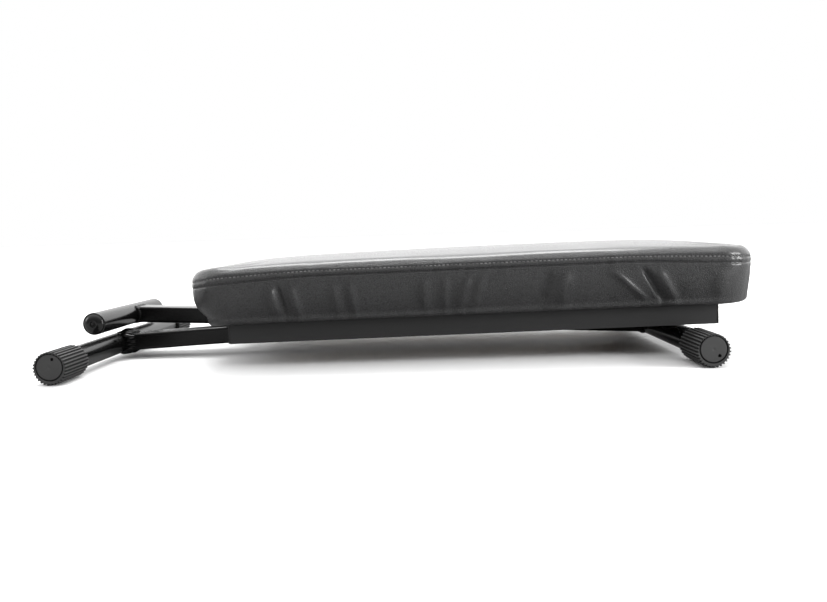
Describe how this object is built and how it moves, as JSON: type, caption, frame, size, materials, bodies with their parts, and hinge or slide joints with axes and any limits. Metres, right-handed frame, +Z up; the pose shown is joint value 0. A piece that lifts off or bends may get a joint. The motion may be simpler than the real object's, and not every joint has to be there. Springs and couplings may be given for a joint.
{
  "type": "piano bench",
  "caption": "Folding X-frame piano bench with a padded black seat, round cross bars and ribbed rubber foot caps, folded flat.",
  "frame": {"origin": "middle of the folded bench's box, on the floor", "axes": "+X towards the hinged end of the seat, +Y from the front to the back along the cross bars, +Z up"},
  "size_m": [0.7454, 0.42, 0.1253],
  "materials": {
    "cover": "grained black vinyl cover with a topstitched seam",
    "foam": "cut upholstery foam",
    "board": "plywood, unfinished",
    "rail_paint": "satin black powder coat",
    "frame_paint": "semi-gloss black powder coat",
    "bracket_paint": "satin black powder coat",
    "fasteners": "zinc plated steel",
    "cap_rubber": "moulded matt rubber",
    "plug_plastic": "moulded black plastic",
    "nylon": "natural nylon",
    "spacer_nylon": "black nylon"
  },
  "bodies": {
    "left_feet": {"foot_cap_left_front": "cap_rubber", "foot_cap_left_back": "cap_rubber"},
    "front_leg": {"leg_tube_front": "frame_paint", "foot_bar_left": "frame_paint", "hinge_bar": "frame_paint", "hinge_bar_inserts": "fasteners", "hinge_bolt_front": "fasteners", "hinge_bolt_back": "fasteners", "pivot_bolt": "fasteners", "pivot_nut": "fasteners", "pivot_washer_front": "fasteners", "pivot_washer_back": "fasteners", "pivot_spacer": "spacer_nylon", "pivot_bush_front": "nylon"},
    "back_leg": {"leg_tube_back": "frame_paint", "foot_bar_right": "frame_paint", "rest_bar": "frame_paint", "rest_bar_plug_front": "plug_plastic", "rest_bar_plug_back": "plug_plastic", "pivot_bush_back": "nylon"},
    "seat": {"hinge_bush_front": "nylon", "hinge_bush_back": "nylon", "seat_cover": "cover", "seat_foam": "foam", "seat_board": "board", "rail_front": "rail_paint", "rail_back": "rail_paint", "rail_end_plugs": "plug_plastic", "rail_screws": "fasteners", "hinge_bracket_front": "bracket_paint", "hinge_bracket_back": "bracket_paint", "bracket_screws": "fasteners", "height_rack_front": "bracket_paint", "height_rack_back": "bracket_paint", "rack_screws": "fasteners"},
    "right_front_foot": {"foot_cap_right_front": "cap_rubber"},
    "right_back_foot": {"foot_cap_right_back": "cap_rubber"}
  },
  "joints": [
    {"name": "fold", "type": "hinge", "parent": "left_feet", "child": "front_leg", "pos_m": [-0.35573, 0, 0.0185], "axis": [0, -1, 0], "range_deg": [0, 46]},
    {"name": "leg_pivot", "type": "hinge", "parent": "front_leg", "child": "back_leg", "pos_m": [-0.02809, 0, 0.03385], "axis": [0, 1, 0], "range_deg": [0, 92]},
    {"name": "seat_hinge", "type": "hinge", "parent": "front_leg", "child": "seat", "pos_m": [0.29955, 0, 0.0492], "axis": [0, 1, 0], "range_deg": [0, 49.1]},
    {"name": "right_front_level", "type": "hinge", "parent": "back_leg", "child": "right_front_foot", "pos_m": [0.29955, -0.1825, 0.0185], "axis": [0, 1, 0], "continuous": true},
    {"name": "right_back_level", "type": "hinge", "parent": "back_leg", "child": "right_back_foot", "pos_m": [0.29955, 0.1825, 0.0185], "axis": [0, 1, 0], "continuous": true}
  ],
  "couplings": [
    {"joint": "leg_pivot", "follows": "fold", "ratio": 2},
    {"joint": "seat_hinge", "follows": "fold", "ratio": 1.056}
  ]
}
